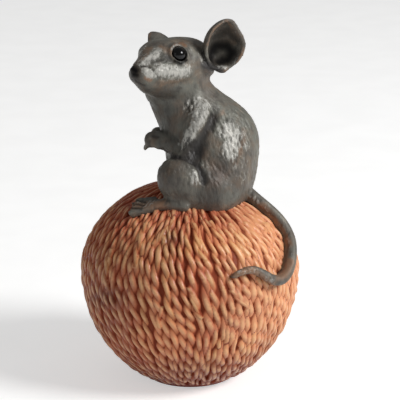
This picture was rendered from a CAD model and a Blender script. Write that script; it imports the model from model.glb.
import math

import bmesh
import bpy
import numpy as np
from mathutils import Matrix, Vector
from mathutils.bvhtree import BVHTree


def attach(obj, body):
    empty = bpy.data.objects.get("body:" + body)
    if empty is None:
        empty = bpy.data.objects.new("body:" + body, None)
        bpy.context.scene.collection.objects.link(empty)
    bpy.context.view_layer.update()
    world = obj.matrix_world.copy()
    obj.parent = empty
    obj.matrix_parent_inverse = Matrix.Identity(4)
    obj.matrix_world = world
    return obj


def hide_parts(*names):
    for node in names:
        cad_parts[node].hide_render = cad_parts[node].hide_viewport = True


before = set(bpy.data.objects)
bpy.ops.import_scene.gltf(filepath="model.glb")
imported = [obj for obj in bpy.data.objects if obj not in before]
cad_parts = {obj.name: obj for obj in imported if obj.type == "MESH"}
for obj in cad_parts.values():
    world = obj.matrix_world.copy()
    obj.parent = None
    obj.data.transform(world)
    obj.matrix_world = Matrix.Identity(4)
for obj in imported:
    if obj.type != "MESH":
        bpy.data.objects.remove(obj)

bl_info = {
    "name": "Mouse on a ball of wool",
    "version": (1, 0, 0),
    "blender": (4, 5, 0),
    "location": "3D View > Sidebar > Figurine",
    "description": "Dresses the packed figurine: carved bronze mouse, twisted wool, felt and studio",
    "category": "Object",
}

MM = 0.001

# The photograph's camera, in millimetres: it looks down a little at the middle of the figurine
PHOTO_CENTRE = 200
PHOTO_STEP = 0.3
CAMERA_AIM = (3.0, 0.0, 55.2)
CAMERA_DISTANCE = 450.0
CAMERA_RISE = 16.0
SENSOR_WIDTH = 36.0

# Ball of wool, the same sizes as the solid's
BALL_RADIUS = 33.2
CROWN_RISE = 27.0
EQUATOR = 34.0
ROOT_DROP = 36.804
FOOT_HEIGHT = 0.6
FELT_RECESS_RADIUS = 12.49
FELT_TOP = 1.2

# Rows of the ball's mesh: those inside the crown's reach, and those left from the foot's rim, the wall of
# the felt's recess, its top and its middle
PROFILE_STEPS = 400
CROWN_REACH = 8.0
CROWN_ROWS = 8
FOOT_ROWS = (12, 9, 7, 0)
# The relief fades in from the pole and out before the rim, where the wool drops a little
POLE_FADE = (2.0, 6.0)
RIM_FADE = (3.4, 0.8)
RIM_DROP = 0.3

# A strand's cross-section in shares of its half width: how far its plies sway and rise, and their radius
PLY_SWAY = 0.4
PLY_RISE = 0.36
PLY_RADIUS = 0.7
PLY_TOP = PLY_RISE + PLY_RADIUS
PLY_PACES = (0.84, 1.2)
RIDGE_POWER = 1.12
NO_WOOL = -9.0

# How the strands lie: widths and bends in shares of their spacing, lengths and lifts in millimetres, and
# what is added where they crowd together under the mouse
KNOTS = 24
STRAND_HALF_WIDTH = 0.6
STRAND_BEND, BEND_LENGTH, BENDS_ROUND = 0.68, 9.0, 3
WANDER, WANDER_LENGTH, CROWN_WANDER = 0.3, 7.0, 0.6
SWELL, SWELL_LENGTH, CROWN_SWELL = 0.22, 9.0, 0.4
LIFT, LIFT_LENGTH = 0.2, 11.0
RIPPLE, RIPPLE_LENGTH = 0.08, 2.3
TWIST_DRIFT, TWIST_START = 1.2, 50
CROWDED_REACH = (14, 27)
CROWN_OVER, CROWN_UNDER = 0.2, -0.3
BOTTOM, CROWN_BOTTOM, BOTTOM_CREST = 0.12, -0.45, 0.42
SEAM_WIDTH, SEAM_DEPTH = 0.2, 0.16
BED_ROOM = 0.15
LOOSE_LIFT, LOOSE_END, LOOSE_TONE = 0.35, 10, 0.8
TONE_LENGTHS = (16.0, 5.0)
RUSTY_CROWN = (16, 30)

# Strands that cross the others, by their places in the photograph, and their width
LOOSE_STRANDS = (
    (((224, 216), (235, 230), (244, 245), (254, 264)), 2.0),
    (((176, 211), (170, 224), (158, 238), (148, 252)), 1.9),
    (((262, 214), (268, 226), (270, 240)), 2.2),
    (((148, 214), (142, 230), (136, 252), (131, 276)), 1.8),
    (((192, 214), (196, 232), (200, 250), (210, 270)), 2.0),
    (((206, 212), (214, 228), (226, 246), (232, 262)), 1.8),
    (((238, 216), (250, 226), (264, 246), (270, 262)), 1.8),
    (((226, 284), (236, 296), (246, 306), (252, 318)), 1.7),
    (((184, 280), (192, 296), (196, 312), (208, 326)), 1.9),
    (((114, 240), (106, 260), (104, 280), (108, 300)), 1.8),
    (((164, 300), (158, 318), (160, 338)), 1.8),
)
# Soft spots in the photograph, as middle, half width, half height and share: where the wool's wash is
# heavier, and where the strands lie smooth beside the tail
WOOL_WASHES = (
    (105, 298, 22, 12, 0.9), (112, 206, 16, 9, 0.3), (172, 238, 12, 12, 0.9),
    (190, 372, 50, 12, 0.4), (104, 330, 14, 16, 0.4),
)
WOOL_CALM = (257, 220, 13, 15, 0.6)
CALM_HEIGHT, CALM_CREST = 0.7, 0.8

# Head frame of the mouse: middle, then the ways to the nose, to its left and to the crown
HEAD_MIDDLE = np.array((-2.37, -0.5, 97.0))
HEAD_TURN = math.radians(47.0)
HEAD_ROLL = math.radians(8.0)
HEAD_FORWARD = np.array((-math.cos(HEAD_TURN), -math.sin(HEAD_TURN), 0.0))
HEAD_LEVEL = np.array((math.sin(HEAD_TURN), -math.cos(HEAD_TURN), 0.0))
HEAD_UP = np.array((0.0, 0.0, math.cos(HEAD_ROLL))) - HEAD_LEVEL * math.sin(HEAD_ROLL)
HEAD_SIDE = np.cross(HEAD_UP, HEAD_FORWARD)
EYE_PLACES = ((7.3, 6.2, 3.3), (7.3, -6.2, 3.3))
# Way an eye looks, as shares to the side, forward and up
EYE_LOOK = (0.86, 0.36, 0.36)
EYE_FRONT = (-1.5, 4.5)
# Rings round an eye: radius, width and height of the lid and of the hollow outside it
EYE_RINGS = ((2.75, 0.45, 0.28), (3.8, 0.7, -0.26))
SOCKET_DEPTH, SOCKET_EDGE, LID_INSIDE = 0.8, (2.1, 2.4), 2.3
# Tints round an eye: name, radius, width and strength
EYE_TINTS = (("canal", 2.3, 0.5, 1.0), ("silver", 2.95, 0.5, 0.2))

# How far the skin of a solid is told from its neighbours', and where paws, feet and neck begin
SOLID_REACH, EAR_REACH = 1.0, 1.2
PAW_FRONT = -8
FOOT_TOP = (58, 62)
NECK_HEIGHT = (86, 92)
# How much nearer to the camera than its aim the mouse's near side is
NEARER_THAN_AIM = 12

# Rounds and weights in which the skin is evened: where castings meet, all over, and after the fur
SEAM_ROUNDS, SEAM_WEIGHT, FINE_KEPT = 26, 0.5, 0.97
SKIN_ROUNDS, SKIN_WEIGHT = 3, 0.4
LAST_ROUNDS, LAST_WEIGHT = 1, 0.2
WOOL_SINK, WOOL_SINK_HEIGHTS = 1.0, (0.25, 1.0)

# How much fur the coat and the silver places take, how deep it goes there, and what the head leaves out
COAT_FUR, SILVER_FUR, HEAD_LESS_FUR = 0.6, 0.5, 0.8
COAT_CUT, SILVER_CUT, HEAD_LESS_CUT = 0.7, 0.9, 0.6
NECK_FLOW, HEAD_FLOW_DOWN, BODY_FLOW = (86, 95), 0.25, (0.25, 0.0, -1.0)

# Strokes of fur: half the fan they lie in, their lengths, and the cut beside its raised lock
FUR_FAN = 0.42
FUR_LENGTHS = (1.1, 3.0)
FUR_DEPTHS = (0.5, 1.3)
CUT_WIDTH = 0.24
LOCK_SHARE, LOCK_ASIDE, LOCK_WIDTH = 0.6, 0.5, 0.3
FUR_THICKNESS = 1.2
FUR_CELL = 2.4
MOUSE_NODES = (
    "torso", "head", "left_ear", "right_ear", "left_foreleg", "right_foreleg",
    "left_hind_leg", "right_hind_leg", "tail",
)
TOE_SLITS = (((130, 200), (142, 202)), ((128, 204), (141, 205)), ((127, 208), (139, 208)))
# Tints on the mouse: each row has the brush's radius in millimetres, the tint's strength and the places
# of its line in the photograph. Rows of the trunk and the head are laid on their other side too
TINT_ROWS = {
    # neck, shoulder, forearm, flank, back, foot and thigh
    ("silver", "trunk"): (
        (3.6, 0.75, (190, 107), (200, 104), (209, 106)),
        (4.2, 0.75, (196, 113), (208, 114)),
        (3.6, 0.8, (198, 122), (206, 123)),
        (2.8, 0.8, (182, 143), (188, 136), (197, 131)),
        (4.6, 1.48, (228, 131), (234, 136), (231, 150)),
        (4.4, 0.65, (242, 132), (246, 144)),
        (5.0, 0.5, (240, 164), (243, 176)),
        (3.0, 0.7, (133, 202), (150, 203)),
        (3.0, 0.6, (226, 154)),
        (2.4, 0.7, (195, 174), (197, 181)),
    ),
    # bridge, eyelid, muzzle, cheek, behind the eye and round the ear
    ("silver", "head"): (
        (4.4, 1.1, (146, 62), (152, 58), (157, 52)),
        (2.8, 1.9, (146, 62), (152, 58), (156, 54)),
        (0.7, 0.62, (172, 49), (176, 45), (181, 44)),
        (2.6, 1.0, (150, 63), (158, 63), (168, 66)),
        (4.4, 0.85, (155, 67), (164, 70), (176, 72), (186, 70)),
        (2.4, 1.32, (160, 69), (172, 72), (185, 72)),
        (2.2, 1.5, (145, 69), (149, 72), (153, 75)),
        (2.1, 0.45, (190, 66), (193, 58), (191, 51)),
        (1.6, 0.45, (196, 52), (202, 62)),
        (1.1, 0.8, (217, 66), (226, 67), (234, 62), (240, 54)),
        (1.8, 0.45, (207, 56), (209, 45), (215, 31)),
        (1.2, 0.54, (222, 22), (231, 18), (240, 24), (245, 36)),
        (1.2, 0.8, (241, 29), (245, 38), (245, 50), (241, 59)),
        (1.6, 0.3, (222, 30), (231, 27), (238, 34)),
    ),
    # root, back and end of the tail
    ("silver", None): (
        (1.7, 0.81, (252, 197), (258, 202)),
        (1.2, 0.45, (262, 205), (275, 220), (288, 240), (293, 258)),
        (1.8, 0.6, (272, 282), (262, 278), (250, 268), (238, 272)),
    ),
    # chest, shoulder, back, flank, foot and haunch
    ("copper", "trunk"): (
        (3.4, 0.38, (178, 104), (184, 112), (176, 118)),
        (2.0, 0.38, (214, 118), (222, 112)),
        (2.4, 0.41, (243, 130), (242, 146), (236, 160)),
        (2.6, 0.38, (210, 132), (206, 146), (202, 156)),
        (4.0, 0.7, (162, 204), (148, 204), (134, 205)),
        (6.0, 0.5, (212, 164), (220, 174), (214, 184)),
    ),
    # eyelid, bridge, forehead, lip, jaw, and the ear's rim and lobe
    ("copper", "head"): (
        (1.2, 0.8, (171, 49), (175, 45), (181, 43), (185, 46)),
        (2.6, 0.45, (136, 62), (142, 55), (148, 49)),
        (2.8, 0.55, (163, 47), (168, 52)),
        (1.3, 0.75, (146, 78), (150, 80)),
        (3.0, 0.38, (158, 84), (176, 82), (188, 80)),
        (1.0, 0.60, (208, 44), (214, 30), (226, 20), (238, 23), (244, 36), (244, 50), (237, 62)),
        (1.8, 0.38, (206, 70), (216, 74), (226, 70)),
    ),
    # back, bend and end of the tail
    ("copper", None): (
        (2.2, 0.7, (262, 206), (276, 222), (289, 244)),
        (2.4, 1.0, (290, 262), (284, 275), (268, 283), (250, 268), (236, 274)),
    ),
    # under the arm, between arm and flank, round the thigh, belly and toes
    ("dark", "trunk"): (
        (6.0, 0.6, (166, 145), (178, 142), (186, 150)),
        (5.4, 1.0, (188, 142), (198, 150), (190, 156)),
        (2.2, 0.8, (213, 118), (206, 130), (199, 145)),
        (1.8, 0.9, (163, 157), (176, 157), (190, 160), (199, 168), (204, 180)),
        (6.0, 0.35, (166, 176), (172, 190), (182, 196)),
        (7.0, 0.8, (212, 180), (220, 170), (210, 196)),
        (4.0, 0.5, (208, 160), (214, 168)),
        (6.0, 0.4, (228, 192), (236, 184)),
        *((0.6, 0.35, *slit) for slit in TOE_SLITS),
    ),
    # neck, mouth, chin, lip, corner of the eye, foot of the ear and throat
    ("dark", "head"): (
        (4.0, 0.4, (160, 97), (176, 96), (190, 96)),
        (0.8, 0.7, (141, 66), (148, 67), (154, 72), (160, 78)),
        (0.7, 0.8, (135, 80), (139, 83), (145, 86)),
        (1.9, 0.85, (133, 75), (137, 80)),
        (0.7, 0.6, (160, 60), (166, 61), (171, 62)),
        (1.4, 0.8, (203, 50), (205, 60), (204, 68)),
        (3.0, 1.2, (205, 65), (212, 68), (218, 71)),
        (3.0, 0.5, (142, 88), (150, 92), (162, 91), (178, 90)),
    ),
    # chest, inside of the tail's curve, wrist, finger and lip
    ("dark", None): (
        (8.0, 0.6, (160, 112), (168, 118), (166, 130)),
        (1.0, 0.6, (256, 206), (268, 222), (280, 240), (286, 256), (284, 266)),
        (1.3, 0.9, (152, 136), (158, 137)),
        (0.6, 0.8, (150, 141), (149, 149)),
        (1.0, 0.9, (132, 76), (135, 80), (139, 83)),
    ),
    # line under the eye and hollow of the ear
    ("canal", "head"): (
        (0.9, 1.0, (175, 61), (181, 63.5), (187, 60)),
        (3.6, 1.0, (211, 60), (212, 52), (216, 46), (226, 46), (232, 52), (228, 60), (218, 62)),
        (3.2, 0.62, (219, 36), (228, 31), (236, 40)),
    ),
    ("nose", None): (
        (2.3, 1.0, (132, 68), (136, 71)),
        (1.5, 0.9, (134, 74), (137, 75)),
    ),
}


# Shared helpers: numbers

def paint(red, green, blue):
    """A colour named by its screen values, as the shaders take it."""
    values = [channel / 255 for channel in (red, green, blue)]
    linear = [v / 12.92 if v <= 0.04045 else ((v + 0.055) / 1.055) ** 2.4 for v in values]
    return (*linear, 1.0)


def ease(values, low, high):
    """0 below low and 1 above high, with a soft rise between them."""
    share = np.clip((values - low) / (high - low), 0, 1)
    return share * share * (3 - 2 * share)


def drift(table, rows, along, spacing):
    """Smooth noise that runs along each row of a table, a knot at each spacing."""
    place = along / spacing
    knot = np.floor(place).astype(int)
    share = ease(place - knot, 0, 1)
    width = table.shape[1]
    return table[rows, knot % width] * (1 - share) + table[rows, (knot + 1) % width] * share


def photo_ray(x, y):
    """Start and direction of the line of sight through a place in the photograph."""
    rise = math.radians(CAMERA_RISE)
    ahead = np.array((0.0, math.cos(rise), -math.sin(rise)))
    up = np.array((0.0, math.sin(rise), math.cos(rise)))
    start = np.array(CAMERA_AIM) - ahead * CAMERA_DISTANCE
    to = (
        ahead * CAMERA_DISTANCE
        + np.array((1.0, 0.0, 0.0)) * (x - PHOTO_CENTRE) * PHOTO_STEP
        + up * (PHOTO_CENTRE - y) * PHOTO_STEP
    )
    return start, to / np.linalg.norm(to)


def in_head(along, side, lift):
    """A place given in the head's own directions."""
    return HEAD_MIDDLE + HEAD_FORWARD * along + HEAD_SIDE * side + HEAD_UP * lift


# Shared helpers: meshes

def read_points(mesh):
    points = np.empty(len(mesh.vertices) * 3)
    mesh.vertices.foreach_get("co", points)
    return points.reshape(-1, 3)


def write_points(mesh, points):
    mesh.vertices.foreach_set("co", points.astype(np.float32).ravel())
    mesh.update()


def read_normals(mesh):
    normals = np.empty(len(mesh.vertices) * 3)
    mesh.vertex_normals.foreach_get("vector", normals)
    return normals.reshape(-1, 3)


def read_edges(mesh):
    edges = np.empty(len(mesh.edges) * 2, dtype=np.int32)
    mesh.edges.foreach_get("vertices", edges)
    return edges.reshape(-1, 2)


def relax(points, edges, rounds, weight):
    """Draws each point towards the middle of its neighbours."""
    count = len(points)
    first, second = edges[:, 0], edges[:, 1]
    valence = np.bincount(first, minlength=count) + np.bincount(second, minlength=count)
    valence = np.maximum(valence, 1)
    for _ in range(rounds):
        middle = np.empty_like(points)
        for axis in range(3):
            values = points[:, axis]
            middle[:, axis] = np.bincount(first, values[second], count)
            middle[:, axis] += np.bincount(second, values[first], count)
        points = points + (middle / valence[:, None] - points) * weight[:, None]
    return points


def keep_values(mesh, **values):
    """Stores one number a vertex under each name, for the finish to read."""
    for name, numbers in values.items():
        layer = mesh.attributes.get(name) or mesh.attributes.new(name, "FLOAT", "POINT")
        layer.data.foreach_set("value", np.asarray(numbers, np.float32))


def new_piece(name, mesh, material, replaced):
    """Puts a finished mesh on the figurine in place of its plain solids."""
    mesh.materials.clear()
    mesh.materials.append(material)
    mesh.shade_smooth()
    piece = bpy.data.objects.new(name, mesh)
    bpy.context.scene.collection.objects.link(piece)
    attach(piece, "root")
    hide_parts(*replaced)
    return piece


# Shared helpers: finishes

def new_finish(name):
    """An empty material and its node tree, with only its output."""
    finish = bpy.data.materials.new(name)
    finish.use_nodes = True
    finish.node_tree.nodes.clear()
    return finish, finish.node_tree


def node(tree, kind, inputs=None, **settings):
    """Adds a node: settings are its options, inputs its values or links by name or number."""
    made = tree.nodes.new(kind)
    for key, value in settings.items():
        setattr(made, key, value)
    for key, value in (inputs or {}).items():
        if isinstance(value, bpy.types.NodeSocket):
            tree.links.new(value, made.inputs[key])
        else:
            made.inputs[key].default_value = value
    return made


def value_of(tree, name):
    """A number stored on the mesh."""
    return node(tree, "ShaderNodeAttribute", attribute_name=name).outputs["Fac"]


def blend_colour(tree, share, first, second):
    return node(tree, "ShaderNodeMix", {0: share, 6: first, 7: second}, data_type="RGBA").outputs[2]


def layered(tree, colour, *layers):
    """A colour under layers of paint, each given as the share of it that shows and its own colour."""
    for share, paint_over in layers:
        colour = blend_colour(tree, share, colour, paint_over)
    return colour


def work(tree, operation, first, second):
    return node(tree, "ShaderNodeMath", {0: first, 1: second}, operation=operation).outputs[0]


def plus(tree, first, second):
    return work(tree, "ADD", first, second)


def times(tree, first, second):
    return work(tree, "MULTIPLY", first, second)


def rise_of(tree, value, low, high, floor=0.0, top=1.0):
    """The floor below low and the top above high, with a soft change between them."""
    made = node(
        tree, "ShaderNodeMapRange",
        {"Value": value, "From Min": low, "From Max": high, "To Min": floor, "To Max": top},
        interpolation_type="SMOOTHSTEP",
    )
    return made.outputs["Result"]


def cloudy(tree, scale, detail=3.0, roughness=0.55, stretch=(1, 1, 1), turn=(0, 0, 0)):
    """Noise in the figurine's own frame, where 1 is a metre."""
    place = node(tree, "ShaderNodeTexCoord").outputs["Object"]
    turned = node(tree, "ShaderNodeMapping", {"Vector": place, "Rotation": turn, "Scale": stretch})
    made = node(
        tree, "ShaderNodeTexNoise",
        {"Vector": turned.outputs[0], "Scale": scale, "Detail": detail, "Roughness": roughness},
    )
    return made.outputs["Fac"]


def place_of(tree, axis):
    """Distance along one of the figurine's own axes, in metres."""
    place = node(tree, "ShaderNodeTexCoord").outputs["Object"]
    return node(tree, "ShaderNodeSeparateXYZ", {"Vector": place}).outputs[axis]


def raised(tree, height, distance, strength=1.0, under=None):
    inputs = {"Height": height, "Distance": distance, "Strength": strength}
    if under is not None:
        inputs["Normal"] = under
    return node(tree, "ShaderNodeBump", inputs).outputs["Normal"]


def surface(tree, **sockets):
    """The shader and the output. Plain numbers go on the shader's own sockets."""
    inputs = {key.replace("_", " ").title().replace("Ior", "IOR"): value for key, value in sockets.items()}
    shader = node(tree, "ShaderNodeBsdfPrincipled", inputs)
    node(tree, "ShaderNodeOutputMaterial", {"Surface": shader.outputs[0]})


# What a user may change

class WoolSettings(bpy.types.PropertyGroup):
    strand_count: bpy.props.IntProperty(
        name="Strands", description="Strands of wool round the ball", default=84, min=24, max=144)
    ply_turn: bpy.props.FloatProperty(
        name="Ply turn", description="Length in which the two plies of a strand turn once", default=0.0106,
        min=0.004, max=0.03, unit="LENGTH")
    relief: bpy.props.FloatProperty(
        name="Relief", description="Height of a ply above its strand's middle", default=0.00092,
        min=0.0002, max=0.003, unit="LENGTH")
    columns: bpy.props.IntProperty(
        name="Columns a strand", description="Mesh columns across each strand", default=10, min=4, max=16)
    rows: bpy.props.IntProperty(
        name="Rows", description="Mesh rows from the crown to the middle of the foot", default=216,
        min=80, max=260)
    crest: bpy.props.FloatVectorProperty(
        name="Salmon", description="Paint on the strands", subtype="COLOR", size=4, min=0, max=1,
        default=paint(234, 150, 102))
    tan: bpy.props.FloatVectorProperty(
        name="Tan", description="Yellower paint on some strands", subtype="COLOR", size=4, min=0, max=1,
        default=paint(228, 164, 104))
    rust: bpy.props.FloatVectorProperty(
        name="Rust", description="Redder paint low in the relief", subtype="COLOR", size=4, min=0, max=1,
        default=paint(186, 92, 62))
    groove: bpy.props.FloatVectorProperty(
        name="Groove", description="Wash in the grooves", subtype="COLOR", size=4, min=0, max=1,
        default=paint(134, 60, 40))


class BronzeSettings(bpy.types.PropertyGroup):
    cell: bpy.props.FloatProperty(
        name="Mesh size", description="Size of the sculpted mesh's faces", default=0.00034,
        min=0.0002, max=0.002, unit="LENGTH", precision=5)
    hair_strokes: bpy.props.IntProperty(
        name="Hair strokes", description="Strokes of fur carved in the coat", default=3600, min=0, max=9000)
    hair_depth: bpy.props.FloatProperty(
        name="Hair depth", description="Depth of a carved stroke", default=0.00016, min=0, max=0.0005,
        unit="LENGTH", precision=5)
    coat: bpy.props.FloatVectorProperty(
        name="Bronze", description="Patina of the coat", subtype="COLOR", size=4, min=0, max=1,
        default=paint(108, 102, 94))
    dark: bpy.props.FloatVectorProperty(
        name="Dark wash", description="Wash left in hollows", subtype="COLOR", size=4, min=0, max=1,
        default=paint(44, 41, 40))
    silver: bpy.props.FloatVectorProperty(
        name="Silver", description="Metal rubbed bright", subtype="COLOR", size=4, min=0, max=1,
        default=paint(184, 182, 175))
    copper: bpy.props.FloatVectorProperty(
        name="Copper", description="Warm metal on edges", subtype="COLOR", size=4, min=0, max=1,
        default=paint(146, 110, 84))


class StudioSettings(bpy.types.PropertyGroup):
    key_power: bpy.props.FloatProperty(
        name="Key light", description="Power of the large soft light at the right", default=9.0, min=0,
        unit="POWER")
    fill_power: bpy.props.FloatProperty(
        name="Fill light", description="Power of the soft light at the left", default=0.35, min=0,
        unit="POWER")
    room_level: bpy.props.FloatProperty(
        name="Room", description="Strength of the light from all round", default=0.2, min=0, max=2)


# Ball of wool

def ball_profile(rows):
    """Reach, height, outward direction and distance along a meridian, from the crown to the foot's middle."""
    upper = np.linspace(math.pi / 2, 0, PROFILE_STEPS)
    foot_turn = math.asin((EQUATOR - FOOT_HEIGHT) / ROOT_DROP)
    lower = np.linspace(0, -foot_turn, PROFILE_STEPS)[1:]
    reach = np.concatenate((
        BALL_RADIUS * np.cos(upper), BALL_RADIUS * np.cos(lower),
        (FELT_RECESS_RADIUS, FELT_RECESS_RADIUS, 0),
    ))
    height = np.concatenate((
        EQUATOR + CROWN_RISE * np.sin(upper), EQUATOR + ROOT_DROP * np.sin(lower),
        (FOOT_HEIGHT, FELT_TOP, FELT_TOP),
    ))
    along = np.concatenate(((0,), np.cumsum(np.hypot(np.diff(reach), np.diff(height)))))
    crown_end = np.interp(CROWN_REACH, reach[:PROFILE_STEPS], along[:PROFILE_STEPS])
    marks = [0, CROWN_ROWS, *(rows - left for left in FOOT_ROWS)]
    at = np.interp(np.arange(rows + 1), marks, [0, crown_end, *along[-len(FOOT_ROWS):]])
    reach_at, height_at = np.interp(at, along, reach), np.interp(at, along, height)
    depth = np.where(height_at > EQUATOR, CROWN_RISE, ROOT_DROP)
    out = reach_at / BALL_RADIUS ** 2
    up = (height_at - EQUATOR) / depth ** 2
    length = np.hypot(out, up)
    return reach_at, height_at, out / length, up / length, at, along[-len(FOOT_ROWS)]


def ply_tops(across, angle):
    """Tops of the two twisted plies of a strand, across its width."""
    for side in (0.0, math.pi):
        middle = -PLY_SWAY * np.cos(angle + side)
        inside = PLY_RADIUS ** 2 - (across - middle) ** 2
        top = PLY_RISE * np.sin(angle + side) + np.sqrt(np.maximum(inside, 0))
        yield np.where(inside > 0, top, NO_WOOL)


def wool_relief(turns, along, reach, count, ply_turn, relief):
    """Height of the wool over its bed, with the numbers that its paint follows."""
    random = np.random.default_rng(12)
    shift, swell, lift = (random.uniform(-1, 1, (count, KNOTS)) for _ in range(3))
    phase = random.uniform(0, 2 * math.pi, count)
    pace = random.uniform(*PLY_PACES, count)
    crowded = 1 - ease(reach, *CROWDED_REACH)
    best, second = np.full(len(turns), NO_WOOL), np.full(len(turns), NO_WOOL)
    crest = np.zeros(len(turns))
    strand = np.zeros(len(turns), int)
    base = np.floor(turns).astype(int)
    for offset in range(-3, 4):
        index = base + offset
        row = index % count
        over = row % 2 == 0
        bend = STRAND_BEND * np.sin(2 * math.pi * BENDS_ROUND * row / count + along / BEND_LENGTH)
        wander = drift(shift, row, along, WANDER_LENGTH) * (WANDER + CROWN_WANDER * crowded)
        half = STRAND_HALF_WIDTH * (1 + SWELL * drift(swell, row, along, SWELL_LENGTH))
        half = half * (1 + crowded * np.where(over, CROWN_SWELL, 0.0))
        height = LIFT * drift(lift, row, along, LIFT_LENGTH)
        height = height + RIPPLE * drift(shift, row, along, RIPPLE_LENGTH)
        height = height + crowded * np.where(over, CROWN_OVER, CROWN_UNDER)
        twist = 2 * math.pi * along / (ply_turn * pace[row]) + phase[row]
        twist = twist + TWIST_DRIFT * drift(swell, row, along + TWIST_START, SWELL_LENGTH)
        for top in ply_tops((turns - (index + 0.5 + bend + wander)) / half, twist):
            ridge = PLY_TOP * np.clip(top / PLY_TOP, 0, 1) ** RIDGE_POWER
            high = np.where(top > NO_WOOL, ridge * relief + height, NO_WOOL)
            wins = high > best
            second = np.where(wins, best, np.maximum(second, high))
            best = np.where(wins, high, best)
            crest = np.where(wins, top, crest)
            strand = np.where(wins, row, strand)
    bottom = BOTTOM + CROWN_BOTTOM * crowded
    crest = np.where(best < bottom, BOTTOM_CREST, crest)
    best = np.maximum(best, bottom)
    seam = 1 - ease(best - np.maximum(second, bottom), 0.0, SEAM_WIDTH)
    return best - SEAM_DEPTH * seam, np.clip(crest / PLY_TOP, 0, 1), strand, seam


def in_photo(points):
    """Where points in millimetres show in the photograph."""
    start, ahead = photo_ray(PHOTO_CENTRE, PHOTO_CENTRE)
    up = np.cross((1.0, 0.0, 0.0), ahead)
    offset = points - start
    scale = CAMERA_DISTANCE / PHOTO_STEP / (offset @ ahead)
    return PHOTO_CENTRE + offset[:, 0] * scale, PHOTO_CENTRE - (offset @ up) * scale


def soft_spot(x, y, spot):
    """Share of a soft oval spot of the photograph at each place."""
    middle_x, middle_y, half_width, half_height, share = spot
    return share * np.exp(-((x - middle_x) / half_width) ** 2 - ((y - middle_y) / half_height) ** 2)


def loose_strand(points, spots, width, ply_turn, relief):
    """Height, crest and seam of a strand that lies across the others, along places in the photograph."""
    x, y = in_photo(points)
    nearest = np.full(len(points), np.inf)
    along = np.zeros(len(points))
    passed = 0.0
    for (x0, y0), (x1, y1) in zip(spots[:-1], spots[1:]):
        run, fall = x1 - x0, y1 - y0
        length = math.hypot(run, fall)
        share = np.clip(((x - x0) * run + (y - y0) * fall) / length ** 2, 0, 1)
        right = (x - x0) * fall > (y - y0) * run
        gap = np.hypot(x - x0 - share * run, y - y0 - share * fall) * np.where(right, 1, -1)
        closer = np.abs(gap) < np.abs(nearest)
        nearest = np.where(closer, gap, nearest)
        along = np.where(closer, passed + share * length, along)
        passed += length
    ends = ease(along, 0, LOOSE_END) * (1 - ease(along, passed - LOOSE_END, passed)) * (points[:, 1] < 0)
    one, other = ply_tops(nearest * PHOTO_STEP / (width / 2), 2 * math.pi * along * PHOTO_STEP / ply_turn)
    top = np.maximum(one, other)
    seam = 1 - ease(np.abs(one - other) * relief, 0.0, SEAM_WIDTH)
    high = np.where(top > NO_WOOL, top * relief + LOOSE_LIFT, NO_WOOL) * ends + NO_WOOL * (1 - ends)
    return high, np.clip(top / PLY_TOP, 0, 1), seam


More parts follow.
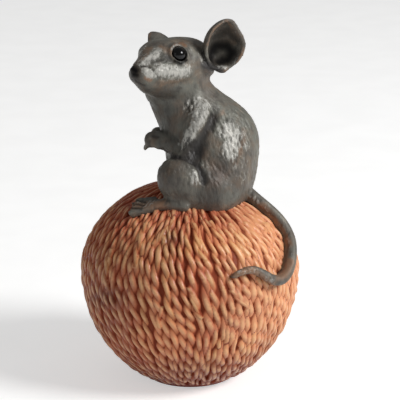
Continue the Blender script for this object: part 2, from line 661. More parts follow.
def wool_half(name, settings, side):
    """Half of the ball as a grid bent round and pushed into strands, with its paint numbers."""
    rows = settings.rows
    columns = settings.strand_count * settings.columns // 2
    ply_turn, relief = settings.ply_turn / MM, settings.relief / MM
    shape = bmesh.new()
    bmesh.ops.create_grid(shape, x_segments=columns, y_segments=rows, size=1.0)
    flat = np.array([vert.co for vert in shape.verts])
    column = np.rint((flat[:, 0] + 1) / 2 * columns)
    row = np.rint((flat[:, 1] + 1) / 2 * rows).astype(int)
    reach, height, out, up, along, foot_along = ball_profile(rows)
    reach, height, out, up, along = (values[row] for values in (reach, height, out, up, along))
    turns = column / settings.columns + (settings.strand_count / 2 if side < 0 else 0)
    angle = turns * 2 * math.pi / settings.strand_count
    high, crest, strand, seam = wool_relief(turns, along, reach, settings.strand_count, ply_turn, relief)

    bare = np.column_stack((reach * np.cos(angle), reach * np.sin(angle), height))
    in_view = bare[:, 1] < 0
    loose = np.zeros(len(high))
    for spots, width in LOOSE_STRANDS:
        crossing = loose_strand(bare, spots, width, ply_turn, relief)
        wins = crossing[0] > high
        high, crest, seam = (np.where(wins, new, old) for new, old in zip(crossing, (high, crest, seam)))
        loose = np.where(wins, LOOSE_TONE, loose)
    x, y = in_photo(bare)
    wash = np.max([soft_spot(x, y, spot) for spot in WOOL_WASHES], axis=0) * in_view
    calm = soft_spot(x, y, WOOL_CALM) * in_view
    bed = PLY_TOP * relief + BED_ROOM
    high = high * (1 - calm) + CALM_HEIGHT * bed * calm
    crest, seam = crest * (1 - calm) + CALM_CREST * calm, seam * (1 - calm)

    fade = 1 - ease(along, foot_along - RIM_FADE[0], foot_along - RIM_FADE[1])
    fade = fade * ease(along, *POLE_FADE)
    push = (np.minimum(high, bed) - bed) * fade - RIM_DROP * (1 - fade)
    push = np.where(row >= rows - FOOT_ROWS[0], 0.0, push)
    around = reach + out * push
    points = np.column_stack((around * np.cos(angle), around * np.sin(angle), height + up * push)) * MM
    for vert, point in zip(shape.verts, points):
        vert.co = point

    tint = np.random.default_rng(11).uniform(-1, 1, (settings.strand_count, KNOTS))
    long_tone, short_tone = (
        drift(table, strand, along, length) for table, length in zip((tint, tint[::-1]), TONE_LENGTHS))
    numbers = {
        "wool_crest": crest * fade, "wool_tone": long_tone * 0.6 + short_tone * 0.4 + loose,
        "wool_rim": 1 - fade, "wool_seam": seam * fade, "wool_wash": wash,
        "wool_crown": (1 - ease(reach, *RUSTY_CROWN)) * (height > EQUATOR),
    }
    for key, values in numbers.items():
        layer = shape.verts.layers.float.new(key)
        for vert, value in zip(shape.verts, values):
            vert[layer] = value
    poles = [vert for vert, at in zip(shape.verts, row) if at in (0, rows)]
    bmesh.ops.remove_doubles(shape, verts=poles, dist=1e-6)
    bmesh.ops.holes_fill(shape, edges=[edge for edge in shape.edges if edge.is_boundary], sides=0)
    bmesh.ops.recalc_face_normals(shape, faces=shape.faces)
    mesh = bpy.data.meshes.new(name)
    shape.to_mesh(mesh)
    shape.free()
    return mesh


# Paints of the wool, beside those of its settings
DUSTY_TAN = paint(158, 104, 76)
CROWN_RUST = paint(182, 98, 72)
LIT_SALMON = paint(250, 180, 132)
SHADED_RUST = paint(138, 60, 36)
BROWN_WASH = paint(108, 54, 36)
RIM_RUST = paint(156, 70, 50)
RUBBED_CREAM = paint(254, 204, 150)


def wool_finish(settings):
    finish, tree = new_finish("painted_wool")
    crest, tone = value_of(tree, "wool_crest"), value_of(tree, "wool_tone")
    large, small = cloudy(tree, 42, 2.0), cloudy(tree, 900, 4.0)
    rust = tuple(settings.rust)
    tan = plus(tree, times(tree, tone, 0.5), times(tree, large, 1.5))
    patches = rise_of(tree, cloudy(tree, 75, 3.0), 0.44, 0.7, 0.0, 0.8)
    dusty = rise_of(tree, cloudy(tree, 33, 2.0, 0.5, (1, 1, 0.7), (0.4, 0.2, 0.9)), 0.52, 0.68, 0.0, 0.55)
    low = rise_of(tree, plus(tree, crest, times(tree, small, 0.25)), 0.5, 1.0, 1.0, 0.0)
    lit = rise_of(tree, place_of(tree, "X"), 0.002, 0.026, 0.0, 0.6)
    shaded = work(
        tree, "MAXIMUM", rise_of(tree, place_of(tree, "X"), -0.032, -0.012, 0.45, 0.0),
        rise_of(tree, place_of(tree, "Z"), 0.003, 0.022, 0.75, 0.0))
    wash = times(tree, value_of(tree, "wool_wash"), rise_of(tree, crest, 0.5, 1.1, 1.0, 0.45))
    deep = work(
        tree, "MAXIMUM", rise_of(tree, crest, 0.28, 0.6, 0.9, 0.0),
        rise_of(tree, value_of(tree, "wool_seam"), 0.2, 0.9, 0.0, 0.9))
    rubbed = rise_of(tree, plus(tree, crest, times(tree, small, 0.4)), 0.98, 1.22)
    colour = layered(
        tree, tuple(settings.crest),
        (rise_of(tree, tan, 0.65, 1.2), tuple(settings.tan)),
        (patches, rust),
        (dusty, DUSTY_TAN),
        (times(tree, low, 0.75), rust),
        (times(tree, value_of(tree, "wool_crown"), 0.75), CROWN_RUST),
        (lit, LIT_SALMON),
        (shaded, SHADED_RUST),
        (wash, BROWN_WASH),
        (deep, tuple(settings.groove)),
        (times(tree, value_of(tree, "wool_rim"), 0.8), RIM_RUST),
        (times(tree, rubbed, 0.5), RUBBED_CREAM),
    )
    surface(
        tree, base_color=colour, roughness=rise_of(tree, small, 0.3, 0.7, 0.3, 0.5),
        normal=raised(tree, small, 0.00014, 0.7),
        specular_ior_level=rise_of(tree, crest, 0.35, 0.9, 0.06, 0.5))
    return finish


class FIGURINE_OT_wool(bpy.types.Operator):
    """Builds the ball of wool in two halves, with its twisted strands"""
    bl_idname = "figurine.wool"
    bl_label = "Ball of wool"

    def execute(self, context):
        settings = context.scene.figurine_wool
        finish = wool_finish(settings)
        for name, side in (("wool_far_half", 1), ("wool_near_half", -1)):
            new_piece(name, wool_half(name, settings, side), finish, ["wool_ball"])
        return {"FINISHED"}


# Mouse

def joined_copy(names):
    """Copies of solids as one mesh in millimetres, their doubles merged."""
    joined = bmesh.new()
    for name in names:
        joined.from_mesh(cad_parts[name].data)
    bmesh.ops.scale(joined, vec=(1 / MM,) * 3, verts=joined.verts)
    bmesh.ops.remove_doubles(joined, verts=joined.verts, dist=1e-5)
    mesh = bpy.data.meshes.new("mouse_draft")
    joined.to_mesh(mesh)
    joined.free()
    return mesh


def even_skin(mesh, cell):
    """The outside of a mesh as one closed skin of even faces."""
    draft = bpy.data.objects.new("mouse_draft", mesh)
    bpy.context.scene.collection.objects.link(draft)
    remesh = draft.modifiers.new("Even faces", "REMESH")
    remesh.mode = "VOXEL"
    remesh.voxel_size = cell
    graph = bpy.context.evaluated_depsgraph_get()
    skin = bpy.data.meshes.new_from_object(draft.evaluated_get(graph))
    bpy.data.objects.remove(draft)
    bpy.data.meshes.remove(mesh)
    shape = bmesh.new()
    shape.from_mesh(skin)
    # The largest group of joined points is the outside, and the others line hollows within
    seen, groups = set(), []
    for start in shape.verts:
        if start.index in seen:
            continue
        group, waiting = [], [start]
        seen.add(start.index)
        while waiting:
            vert = waiting.pop()
            group.append(vert)
            for edge in vert.link_edges:
                other = edge.other_vert(vert)
                if other.index not in seen:
                    seen.add(other.index)
                    waiting.append(other)
        groups.append(group)
    groups.sort(key=len)
    for group in groups[:-1]:
        bmesh.ops.delete(shape, geom=group, context="VERTS")
    shape.to_mesh(skin)
    shape.free()
    return skin


class Carving:
    """The mouse's skin while it is worked: its points, and brushes that follow the photograph."""

    def __init__(self, mesh):
        self.mesh = mesh
        self.points = read_points(mesh)
        self.edges = read_edges(mesh)
        self.masks = {}
        self.carved = np.zeros(len(self.points))
        self.refresh()

    def refresh(self):
        write_points(self.mesh, self.points)
        self.normals = read_normals(self.mesh)
        faces = [tuple(polygon.vertices) for polygon in self.mesh.polygons]
        self.tree = BVHTree.FromPolygons(self.points.tolist(), faces)

    def near_nodes(self, names, reach):
        """1 on the skin that lies on these solids, fading to 0 at a distance."""
        closest = np.full(len(self.points), reach)
        for name in names:
            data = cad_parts[name].data
            corners = np.array([tuple(vert.co / MM) for vert in data.vertices])
            faces = [tuple(polygon.vertices) for polygon in data.polygons]
            tree = BVHTree.FromPolygons(corners.tolist(), faces)
            low, high = corners.min(0) - reach, corners.max(0) + reach
            inside = np.nonzero(np.all((self.points > low) & (self.points < high), axis=1))[0]
            for index in inside:
                found = tree.find_nearest(self.points[index], reach)
                if found[0] is not None:
                    closest[index] = min(closest[index], found[3])
        return 1 - ease(closest, reach * 0.2, reach)

    def on_skin(self, x, y):
        """The point of the skin seen at a place in the photograph."""
        start, direction = photo_ray(x, y)
        hit = self.tree.ray_cast(Vector(start), Vector(direction))
        if hit[0] is None:
            near = self.tree.find_nearest(Vector(start + direction * (CAMERA_DISTANCE - NEARER_THAN_AIM)))
            return np.array(near[0])
        return np.array(hit[0])

    def to_other_side(self, points, mirror):
        """The same place on the mouse's right side."""
        if mirror == "trunk":
            return points * np.array((1.0, -1.0, 1.0))
        offset = (points - HEAD_MIDDLE) @ HEAD_SIDE
        return points - 2 * offset[:, None] * HEAD_SIDE

    def routes(self, spots, mirror):
        route = np.array([self.on_skin(x, y) for x, y in spots])
        found = [route]
        if mirror:
            other = self.to_other_side(route, mirror)
            found.append(np.array([self.tree.find_nearest(Vector(p))[0] for p in other]))
        return found

    def nearness(self, route, radius):
        """The points near a line, and 1 on it falling to 0 at the radius."""
        low, high = route.min(0) - radius, route.max(0) + radius
        picked = np.nonzero(np.all((self.points > low) & (self.points < high), axis=1))[0]
        near = self.points[picked]
        best = np.full(len(picked), 1e9)
        if len(route) == 1:
            best = ((near - route[0]) ** 2).sum(1)
        for start, end in zip(route[:-1], route[1:]):
            span = end - start
            share = np.clip(((near - start) @ span) / max(span @ span, 1e-9), 0, 1)
            best = np.minimum(best, ((near - start - share[:, None] * span) ** 2).sum(1))
        return picked, np.clip(1 - best / radius ** 2, 0, 1) ** 2

    def push(self, spots, radius, depth, mirror=None):
        """Raises, or with a negative depth cuts, along a line of places in the photograph."""
        for route in self.routes(spots, mirror):
            picked, share = self.nearness(route, radius)
            self.points[picked] += self.normals[picked] * (share * depth)[:, None]
            self.carved[picked] += share * depth

    def grab(self, spots, radius, right, up, mirror=None):
        """Moves the skin near places in the photograph to the right and up, as the photograph shows it."""
        for route in self.routes(spots, mirror):
            picked, share = self.nearness(route, radius)
            self.points[picked] += share[:, None] * np.array((right, 0.0, up))

    def even_out(self, rounds, weight):
        self.points = relax(self.points, self.edges, rounds, weight)

    def soften(self, spots, radius, rounds, mirror=None):
        """Relaxes the skin near places in the photograph, which fills a crease."""
        weight = np.zeros(len(self.points))
        for route in self.routes(spots, mirror):
            picked, share = self.nearness(route, radius)
            weight[picked] = np.maximum(weight[picked], np.sqrt(share))
        self.even_out(rounds, SEAM_WEIGHT * weight)

    def sink_into_wool(self, depth):
        """Draws the skin that meets the ball down among its strands."""
        reach = np.hypot(self.points[:, 0], self.points[:, 1])
        swell = np.hypot(reach / BALL_RADIUS, (self.points[:, 2] - EQUATOR) / CROWN_RISE)
        outward = np.column_stack((
            self.points[:, 0] / BALL_RADIUS ** 2, self.points[:, 1] / BALL_RADIUS ** 2,
            (self.points[:, 2] - EQUATOR) / CROWN_RISE ** 2))
        outward /= np.linalg.norm(outward, axis=1)[:, None]
        near = 1 - ease((swell - 1) * CROWN_RISE, *WOOL_SINK_HEIGHTS)
        self.points -= outward * (near * depth)[:, None]

    def dab(self, name, spots, radius, strength, mirror=None):
        """Lays a tint along a line of places in the photograph."""
        mask = self.masks.setdefault(name, np.zeros(len(self.points)))
        for route in self.routes(spots, mirror):
            picked, share = self.nearness(route, radius)
            mask[picked] = np.maximum(mask[picked], share * strength)

    def flow(self, points):
        """Way the fur lies: back from the nose, then down the body."""
        on_head = ease(points[:, 2], *NECK_FLOW)[:, None]
        head_flow = -HEAD_FORWARD - HEAD_FLOW_DOWN * HEAD_UP
        return head_flow * on_head + np.array(BODY_FLOW) * (1 - on_head)

    def comb(self, count, depth, weight, strength):
        """Cuts short strokes of fur, each beside a raised lock."""
        random = np.random.default_rng(23)
        order = random.permutation(len(self.points))
        chance = random.uniform(0, 1, len(order))
        seeds = [index for index, luck in zip(order, chance) if luck < weight[index]][:count]
        flow = self.flow(self.points)
        across = np.cross(self.normals, flow)
        down = np.cross(across, self.normals)
        down /= np.maximum(np.linalg.norm(down, axis=1), 1e-6)[:, None]
        across /= np.maximum(np.linalg.norm(across, axis=1), 1e-6)[:, None]
        moved = np.zeros(len(self.points))
        keys = np.floor(self.points / FUR_CELL).astype(int)
        cells = {}
        for index, key in enumerate(map(tuple, keys)):
            cells.setdefault(key, []).append(index)
        for index in seeds:
            start = self.points[index]
            turn = random.uniform(-FUR_FAN, FUR_FAN)
            length = random.uniform(*FUR_LENGTHS)
            line = down[index] * math.cos(turn) + across[index] * math.sin(turn)
            beside = np.cross(self.normals[index], line)
            key = keys[index]
            around = [
                other
                for i in (-1, 0, 1) for j in (-1, 0, 1) for k in (-1, 0, 1)
                for other in cells.get((key[0] + i, key[1] + j, key[2] + k), ())
            ]
            near = self.points[around] - start
            ahead = near @ line
            aside = near @ beside
            off = near @ self.normals[index]
            ends = np.clip(1 - (2 * ahead / length) ** 2, 0, 1)
            lock = LOCK_SHARE * np.exp(-((aside - LOCK_ASIDE) / LOCK_WIDTH) ** 2)
            cut = np.exp(-(aside / CUT_WIDTH) ** 2) - lock
            cut = depth * strength[index] * ends * cut * (np.abs(off) < FUR_THICKNESS)
            moved[around] -= cut * random.uniform(*FUR_DEPTHS)
        moved = np.clip(moved, -3 * depth, 3 * depth)
        self.points += self.normals * moved[:, None]
        self.carved += moved


def shape_eyes(carving):
    """Raises the lids round the two beads and cuts the hollow round them."""
    for place in EYE_PLACES:
        centre = in_head(*place)
        side = math.copysign(1, place[1])
        axis = HEAD_SIDE * side * EYE_LOOK[0] + HEAD_FORWARD * EYE_LOOK[1] + HEAD_UP * EYE_LOOK[2]
        axis /= np.linalg.norm(axis)
        offset = carving.points - centre
        ahead = offset @ axis
        around = offset - ahead[:, None] * axis
        ring = np.hypot(np.linalg.norm(around, axis=1), 0.5 * (around @ HEAD_FORWARD))
        front = (ahead > EYE_FRONT[0]) & (ahead < EYE_FRONT[1])
        lid = sum(height * np.exp(-((ring - middle) / width) ** 2) for middle, width, height in EYE_RINGS)
        lid -= SOCKET_DEPTH * (1 - ease(ring, *SOCKET_EDGE))
        carving.points += axis * (lid * front)[:, None]
        carving.carved += lid * front * (ring > LID_INSIDE)
        for name, middle, width, strength in EYE_TINTS:
            tint = np.clip(1 - np.abs(ring - middle) / width, 0, 1) * front * strength
            carving.masks[name] = np.maximum(carving.masks.get(name, 0), tint)


# Places in the photograph of the forms that are carved on the mouse
MUZZLE_FRONT = ((131, 67), (132, 75), (134, 84))
CHIN_EDGE = ((133, 85), (137, 90))
THROAT_EDGE = ((146, 95),)
BROW_EDGE = ((151, 44), (146, 48))
EAR_TOP = ((238, 19),)
EAR_BACK = ((241, 54),)
TOE_TIPS = ((136, 201), (136, 207), (136, 213))
UNDER_JAW = ((158, 94), (168, 92), (182, 90), (196, 87), (206, 84))
CHIN_TO_CHEST = ((134, 88), (140, 93), (146, 97), (151, 102))
CHIN = ((138, 89),)
THROAT = ((146, 92), (150, 97))
THROAT_FRONT = ((143, 89), (147, 93), (150, 98))
THROAT_SIDE = ((152, 96), (164, 97), (178, 95))
NECK_SIDE = ((160, 94), (172, 93), (184, 92), (196, 89))
ARM_CREASE = ((206, 130), (201, 142), (197, 152))
NOSE_TIP = ((132, 69),)
BEFORE_EYE = ((168, 58), (160, 60), (151, 62))
UPPER_LID = ((171, 50), (175, 45), (183, 43), (190, 48))
LID_TOP = ((180, 43.5),)
CHEEK = ((160, 72), (172, 74), (184, 73))
WHISKER_PAD = ((147, 74),)
MOUTH = ((141, 66), (148, 67), (154, 72), (160, 78), (164, 80))
LOWER_LIP = ((135, 80), (139, 83), (145, 86))
EAR_LOBE = ((206, 68), (214, 72), (222, 72))
BEFORE_EAR = ((203, 52), (205, 60), (206, 66))
BEHIND_ARM = ((213, 117), (208, 126), (201, 136), (197, 148), (196, 158))
UPPER_ARM = ((203, 106), (200, 120), (192, 134))
RIBS = ((232, 128), (231, 142), (229, 153))
FLANK_DENTS = ((227, 149), (233, 144), (237, 133), (231, 155), (229, 139), (222, 128))
THIGH_EDGE = ((163, 157), (174, 157), (188, 159), (197, 165), (202, 174), (204, 182))
THIGH = ((176, 172), (184, 182))
HAUNCH_RIDGE = ((193, 172), (196, 179))
PAW_TIP = ((146, 143), (147, 148))
PAW_HEEL = ((153, 141), (156, 143))
FINGERS = ((148, 142), (149, 147))
FINGER_GAP = ((150, 141), (149, 149))
WRIST_FOLD = ((152, 136), (158, 137))
TOE_GAPS = (
    ((130, 200), (137, 200), (145, 202)), ((128, 204), (136, 204), (143, 205)),
    ((127, 208), (134, 208), (141, 208)),
)
TAIL_DENTS = ((258, 200), (273, 219), (284, 236), (290, 262), (277, 282), (262, 280), (249, 268))


def carve_mouse(carving):
    """The forms of head, arms, legs and tail that the photograph shows."""
    push, grab, soften = carving.push, carving.grab, carving.soften
    # outline of head, ears and foot
    soften(MUZZLE_FRONT, 3.2, 30)
    carving.refresh()
    grab(CHIN_EDGE, 4.2, 1.6, 0.8)
    grab(THROAT_EDGE, 4.0, -1.7, 0.0)
    grab(BROW_EDGE, 4.5, -1.2, 0.5)
    grab(EAR_TOP, 7.0, -1.9, -0.6)
    grab(EAR_BACK, 4.5, 0.6, 0.0)
    grab(TOE_TIPS, 3.6, -1.5, 0.0)
    carving.refresh()
    # neck, which runs on from the jaw
    soften(UNDER_JAW, 5.5, 90, "head")
    soften(CHIN_TO_CHEST, 5.0, 60, "head")
    carving.refresh()
    grab(CHIN, 3.4, 0.9, 0.4)
    push(THROAT, 3.4, 0.9, "head")
    carving.refresh()
    soften(THROAT_FRONT, 4.4, 60, "head")
    soften(THROAT_SIDE, 4.6, 90, "head")
    carving.refresh()
    push(NECK_SIDE, 4.0, 0.6, "head")
    soften(ARM_CREASE, 3.0, 20, "trunk")
    carving.refresh()
    # head
    push(NOSE_TIP, 1.6, 0.3)
    push(BEFORE_EYE, 3.0, -0.3, "head")
    push(UPPER_LID, 1.2, 0.3, "head")
    push(CHEEK, 3.6, 0.4, "head")
    push(WHISKER_PAD, 3.0, 0.35, "head")
    push(MOUTH, 0.7, -0.3, "head")
    push(LOWER_LIP, 0.6, -0.28, "head")
    push(EAR_LOBE, 2.4, 0.7, "head")
    push(BEFORE_EAR, 0.9, -0.4, "head")
    grab(LID_TOP, 1.8, 0.0, -0.45, "head")
    # shoulder, arm and flank
    push(BEHIND_ARM, 2.8, -0.8, "trunk")
    push(UPPER_ARM, 4.5, 0.6, "trunk")
    push(RIBS, 3.8, 0.35, "trunk")
    for spot in FLANK_DENTS:
        push([spot], 0.9, -0.4, "trunk")
    # thigh
    push(THIGH_EDGE, 1.6, -0.8, "trunk")
    push(THIGH, 6.0, 0.5, "trunk")
    push(HAUNCH_RIDGE, 1.4, 0.35, "trunk")
    # near paw
    soften(PAW_TIP, 2.2, 12)
    grab(PAW_HEEL, 3.0, 0.0, -1.2)
    push(FINGERS, 2.4, 0.5)
    push(FINGER_GAP, 0.6, -0.35)
    push(WRIST_FOLD, 0.8, -0.3)
    for gap in TOE_GAPS:
        push(gap, 0.7, -0.6, "trunk")
    # tail, beaten a little flat and uneven
    for spot in TAIL_DENTS:
        push([spot], 1.5, -0.22)
    carving.refresh()


def tint_mouse(carving):
    """Where metal is rubbed silver or copper, and where the wash stays dark."""
    for (tint, mirror), rows in TINT_ROWS.items():
        for radius, strength, *spots in rows:
            carving.dab(tint, spots, radius, strength, mirror)


# Colours of the bronze, beside those of its settings
GREEN_BRONZE = paint(116, 117, 108)
RED_BRONZE = paint(120, 100, 82)
SHADED_BRONZE = paint(72, 69, 65)
PALE_BRONZE = paint(144, 136, 122)
BRIGHT_SILVER = paint(214, 211, 203)
DULL_SILVER = paint(132, 131, 126)
EAR_BLACK = paint(12, 12, 14)
NOSE_BLACK = paint(20, 20, 21)


def bronze_finish(settings):
    finish, tree = new_finish("patinated_bronze")
    silver, copper = value_of(tree, "silver"), value_of(tree, "copper")
    carved, canal, nose = (value_of(tree, name) for name in ("carved", "canal", "nose"))
    patch = cloudy(tree, 260, 4.0, 0.6)
    broad = cloudy(tree, 420, 4.0, 0.6, (1, 1, 0.6), (0.3, 0.2, 0))
    streaks = cloudy(tree, 1150, 3.0, 0.7, (1, 1, 0.45), (0, 0.35, 0))
    warm = plus(tree, copper, times(tree, work(tree, "SUBTRACT", broad, 0.5), 1.2))
    warm = times(tree, rise_of(tree, warm, 0.1, 1.0, 0.0, 0.85), rise_of(tree, copper, 0.0, 0.3))
    shade = times(tree, value_of(tree, "dark"), plus(tree, 0.62, times(tree, broad, 0.5)))
    rubbed = plus(tree, silver, times(tree, work(tree, "SUBTRACT", streaks, 0.5), 3.6))
    rubbed = plus(tree, rubbed, times(tree, carved, 1.3))
    bright = times(tree, rise_of(tree, rubbed, 0.4, 1.5), rise_of(tree, silver, 0.0, 0.3))
    shining = layered(
        tree, tuple(settings.silver),
        (rise_of(tree, silver, 1.05, 1.7), BRIGHT_SILVER),
        (rise_of(tree, streaks, 0.36, 0.58, 0.6, 0.0), DULL_SILVER),
    )
    colour = layered(
        tree, tuple(settings.coat),
        (rise_of(tree, cloudy(tree, 70, 3.0), 0.38, 0.62, 0.0, 0.75), GREEN_BRONZE),
        (rise_of(tree, patch, 0.46, 0.72, 0.0, 0.6), RED_BRONZE),
        (rise_of(tree, broad, 0.32, 0.52, 0.65, 0.0), SHADED_BRONZE),
        (rise_of(tree, broad, 0.56, 0.7, 0.0, 0.55), PALE_BRONZE),
        (warm, tuple(settings.copper)),
        (shade, tuple(settings.dark)),
        (bright, shining),
        (rise_of(tree, carved, -0.55, -0.06, 0.7, 0.0), tuple(settings.dark)),
        (times(tree, canal, 0.95), EAR_BLACK),
        (nose, NOSE_BLACK),
    )
    hair = raised(tree, cloudy(tree, 2600, 2.0, 0.6, (1, 1, 0.22), (0, 0.25, 0)), 0.0002, 0.6)
    surface(
        tree, base_color=colour, metallic=0.15, roughness=rise_of(tree, patch, 0.3, 0.7, 0.42, 0.58),
        normal=raised(tree, cloudy(tree, 1500, 3.0, 0.6), 0.00006, 0.6, hair),
        specular_ior_level=rise_of(tree, work(tree, "MAXIMUM", canal, nose), 0.0, 1.0, 0.4, 0.08))
    return finish


class FIGURINE_OT_mouse(bpy.types.Operator):
    """Sculpts the mouse as one skin over its solids"""
    bl_idname = "figurine.mouse"
    bl_label = "Mouse"

    def execute(self, context):
        settings = context.scene.figurine_bronze
        mesh = even_skin(joined_copy(MOUSE_NODES), settings.cell / MM)
        carving = Carving(mesh)
        ears = carving.near_nodes(["left_ear", "right_ear"], EAR_REACH)
        paws = carving.near_nodes(["left_foreleg", "right_foreleg"], SOLID_REACH)
        legs = carving.near_nodes(["left_hind_leg", "right_hind_leg"], SOLID_REACH)
        fine = ears + paws * (carving.points[:, 0] < PAW_FRONT)
        fine += legs * (1 - ease(carving.points[:, 2], *FOOT_TOP))
        fine = np.clip(fine + carving.near_nodes(["tail"], SOLID_REACH), 0, 1)
        everywhere = np.ones(len(fine))
        carving.even_out(SEAM_ROUNDS, SEAM_WEIGHT * (1 - FINE_KEPT * fine))
        carving.even_out(SKIN_ROUNDS, SKIN_WEIGHT * everywhere)
        carving.sink_into_wool(WOOL_SINK)
        carving.refresh()
        shape_eyes(carving)
        carving.refresh()
        carve_mouse(carving)
        tint_mouse(carving)
        silver = carving.masks["silver"]
        on_head = ease(carving.points[:, 2], *NECK_HEIGHT)
        weight = ((1 - fine) * COAT_FUR + SILVER_FUR * silver) * (1 - HEAD_LESS_FUR * on_head)
        strength = (COAT_CUT + SILVER_CUT * np.minimum(silver, 1)) * (1 - HEAD_LESS_CUT * on_head)
        carving.comb(settings.hair_strokes, settings.hair_depth / MM, weight, strength)
        carving.even_out(LAST_ROUNDS, LAST_WEIGHT * everywhere)
        write_points(mesh, carving.points * MM)
        keep_values(mesh, carved=carving.carved, **carving.masks)
        mesh.name = "mouse_skin"
        new_piece("mouse_skin", mesh, bronze_finish(settings), MOUSE_NODES)
        return {"FINISHED"}


# Small parts that keep their solids

BEAD_BLACK, BEAD_BROWN = paint(5, 5, 6), paint(14, 12, 11)
FELT_GREEN, FELT_PALE, FELT_DARK = paint(34, 58, 44), paint(48, 76, 58), paint(20, 34, 27)
STEEL_GREY, STEEL_PALE = paint(150, 152, 156), paint(184, 186, 190)


def bead_finish():
    finish, tree = new_finish("black_bead")
    cloud = cloudy(tree, 700, 2.0)
    surface(
        tree, base_color=blend_colour(tree, rise_of(tree, cloud, 0.4, 0.7), BEAD_BLACK, BEAD_BROWN),
        roughness=rise_of(tree, cloud, 0.3, 0.7, 0.07, 0.13), specular_ior_level=0.35)
    return finish


def felt_finish():
    finish, tree = new_finish("wool_felt")
    fuzz = cloudy(tree, 2400, 4.0, 0.65)
    colour = layered(
        tree, FELT_GREEN,
        (rise_of(tree, cloudy(tree, 160, 3.0), 0.35, 0.65), FELT_PALE),
        (rise_of(tree, fuzz, 0.3, 0.5, 0.5, 0.0), FELT_DARK),
    )
    surface(
        tree, base_color=colour, roughness=0.95, normal=raised(tree, fuzz, 0.00025, 0.9),
        sheen_weight=0.4, sheen_roughness=0.5)
    return finish


def steel_finish():
    finish, tree = new_finish("drawn_steel")
    lines = cloudy(tree, 900, 3.0, 0.6, (1, 1, 0.03))
    surface(
        tree, base_color=blend_colour(tree, rise_of(tree, lines, 0.35, 0.65), STEEL_GREY, STEEL_PALE),
        metallic=1.0, roughness=rise_of(tree, lines, 0.3, 0.7, 0.28, 0.42),
        normal=raised(tree, lines, 0.00003, 0.5))
    return finish


def dress_nodes(names, finish):
    """Gives solids that stay as they are their finish."""
    for name in names:
        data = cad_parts[name].data
        data.materials.clear()
        data.materials.append(finish)


class FIGURINE_OT_eyes(bpy.types.Operator):
    """Finishes the two glass beads"""
    bl_idname = "figurine.eyes"
    bl_label = "Eyes"

    def execute(self, context):
        dress_nodes(["left_eye", "right_eye"], bead_finish())
        return {"FINISHED"}


class FIGURINE_OT_base(bpy.types.Operator):
    """Finishes the felt and the steel dowels"""
    bl_idname = "figurine.base"
    bl_label = "Felt and dowels"

    def execute(self, context):
        dress_nodes(["base_felt"], felt_finish())
        dress_nodes(["neck_pin", "left_seat_pin", "right_seat_pin", "tail_pin"], steel_finish())
        return {"FINISHED"}


# Studio

WHITE = (1, 1, 1, 1)
FLOOR_GREY, FLOOR_PALE = paint(236, 236, 235), paint(242, 242, 241)
FLOOR_RADIUS = 6.0
FLOOR_GLOW = 0.5
KEY_PLACE, KEY_SIZE, KEY_AIM = (0.8, -0.36, 0.66), 0.42, (0, 0, 0.06)
FILL_PLACE, FILL_SIZE, FILL_AIM = (-0.7, -0.6, 0.35), 0.6, (0, 0, 0.05)


def soft_light(name, place, size, power, aim):
    """A round light at a place in metres, turned to where it aims."""
    lamp = bpy.data.lights.new(name, "AREA")
    lamp.shape = "DISK"
    lamp.size = size
    lamp.energy = power
    holder = bpy.data.objects.new(name, lamp)
    holder.location = place
    holder.rotation_euler = (Vector(aim) - Vector(place)).to_track_quat("-Z", "Y").to_euler()
    bpy.context.scene.collection.objects.link(holder)


def floor_finish():
    """Pale floor, a little brighter where the camera, a mirror or glass sees it."""
    finish, tree = new_finish("pale_floor")
    rays = node(tree, "ShaderNodeLightPath").outputs
    grain = rise_of(tree, cloudy(tree, 40, 2.0), 0.3, 0.7)
    mirrored = work(tree, "MAXIMUM", rays["Is Glossy Ray"], rays["Is Transmission Ray"])
    shown = work(tree, "MAXIMUM", rays["Is Camera Ray"], mirrored)
    matt = node(
        tree, "ShaderNodeBsdfDiffuse", {"Color": blend_colour(tree, grain, FLOOR_GREY, FLOOR_PALE)})
    glow = node(
        tree, "ShaderNodeEmission", {"Color": WHITE, "Strength": times(tree, shown, FLOOR_GLOW)})
    both = node(tree, "ShaderNodeAddShader", {0: matt.outputs[0], 1: glow.outputs[0]})
    node(tree, "ShaderNodeOutputMaterial", {"Surface": both.outputs[0]})
    return finish


def room_light(level):
    """A white room: dim as a light, and plain white where it is seen."""
    world = bpy.data.worlds.new("room")
    world.use_nodes = True
    tree = world.node_tree
    tree.nodes.clear()
    rays = node(tree, "ShaderNodeLightPath").outputs
    shown = work(tree, "MAXIMUM", rays["Is Camera Ray"], rays["Is Transmission Ray"])
    strength = plus(tree, level, times(tree, shown, 1 - level))
    sky = node(tree, "ShaderNodeBackground", {"Color": WHITE, "Strength": strength})
    node(tree, "ShaderNodeOutputWorld", {"Surface": sky.outputs[0]})
    return world


def photo_camera():
    """The camera of the photograph."""
    lens = bpy.data.cameras.new("photo_camera")
    lens.sensor_width = SENSOR_WIDTH
    lens.lens = SENSOR_WIDTH * CAMERA_DISTANCE / (2 * PHOTO_CENTRE * PHOTO_STEP)
    lens.clip_start, lens.clip_end = 0.01, 20
    camera = bpy.data.objects.new("photo_camera", lens)
    start, ahead = photo_ray(PHOTO_CENTRE, PHOTO_CENTRE)
    camera.location = start * MM
    camera.rotation_euler = Vector(ahead).to_track_quat("-Z", "Y").to_euler()
    bpy.context.scene.collection.objects.link(camera)
    return camera


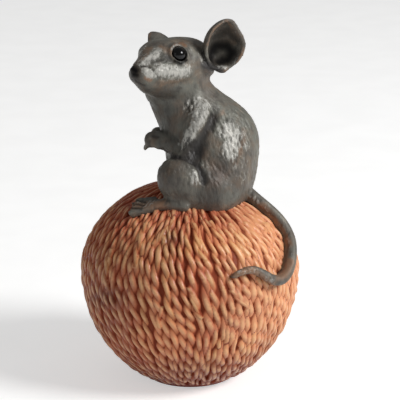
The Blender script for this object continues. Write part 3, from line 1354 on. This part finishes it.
class FIGURINE_OT_studio(bpy.types.Operator):
    """Sets up the floor, the soft light and the photograph's camera"""
    bl_idname = "figurine.studio"
    bl_label = "Studio"

    def execute(self, context):
        settings = context.scene.figurine_studio
        scene = context.scene
        shape = bmesh.new()
        bmesh.ops.create_circle(shape, cap_ends=True, segments=96, radius=FLOOR_RADIUS)
        mesh = bpy.data.meshes.new("floor")
        shape.to_mesh(mesh)
        shape.free()
        mesh.materials.append(floor_finish())
        floor = bpy.data.objects.new("floor", mesh)
        scene.collection.objects.link(floor)
        soft_light("key", KEY_PLACE, KEY_SIZE, settings.key_power, KEY_AIM)
        soft_light("fill", FILL_PLACE, FILL_SIZE, settings.fill_power, FILL_AIM)
        scene.world = room_light(settings.room_level)
        scene.camera = photo_camera()
        scene.view_settings.view_transform = "Standard"
        return {"FINISHED"}


class FIGURINE_PT_panel(bpy.types.Panel):
    """Lists the pieces and what can be changed on them"""
    bl_label = "Figurine"
    bl_idname = "FIGURINE_PT_panel"
    bl_space_type = "VIEW_3D"
    bl_region_type = "UI"
    bl_category = "Figurine"

    def draw(self, context):
        scene = context.scene
        for group in (scene.figurine_wool, scene.figurine_bronze, scene.figurine_studio):
            box = self.layout.box()
            for key in group.__annotations__:
                box.prop(group, key)
        for step in STEPS:
            self.layout.operator(step.bl_idname)


STEPS = (FIGURINE_OT_studio, FIGURINE_OT_wool, FIGURINE_OT_mouse, FIGURINE_OT_eyes, FIGURINE_OT_base)
CLASSES = (WoolSettings, BronzeSettings, StudioSettings, *STEPS, FIGURINE_PT_panel)


def register():
    for kind in CLASSES:
        bpy.utils.register_class(kind)
    bpy.types.Scene.figurine_wool = bpy.props.PointerProperty(type=WoolSettings)
    bpy.types.Scene.figurine_bronze = bpy.props.PointerProperty(type=BronzeSettings)
    bpy.types.Scene.figurine_studio = bpy.props.PointerProperty(type=StudioSettings)


def unregister():
    del bpy.types.Scene.figurine_studio
    del bpy.types.Scene.figurine_bronze
    del bpy.types.Scene.figurine_wool
    for kind in reversed(CLASSES):
        bpy.utils.unregister_class(kind)


def main():
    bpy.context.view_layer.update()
    register()
    bpy.ops.figurine.studio()
    bpy.ops.figurine.wool()
    bpy.ops.figurine.mouse()
    bpy.ops.figurine.eyes()
    bpy.ops.figurine.base()


if __name__ == "__main__":
    main()
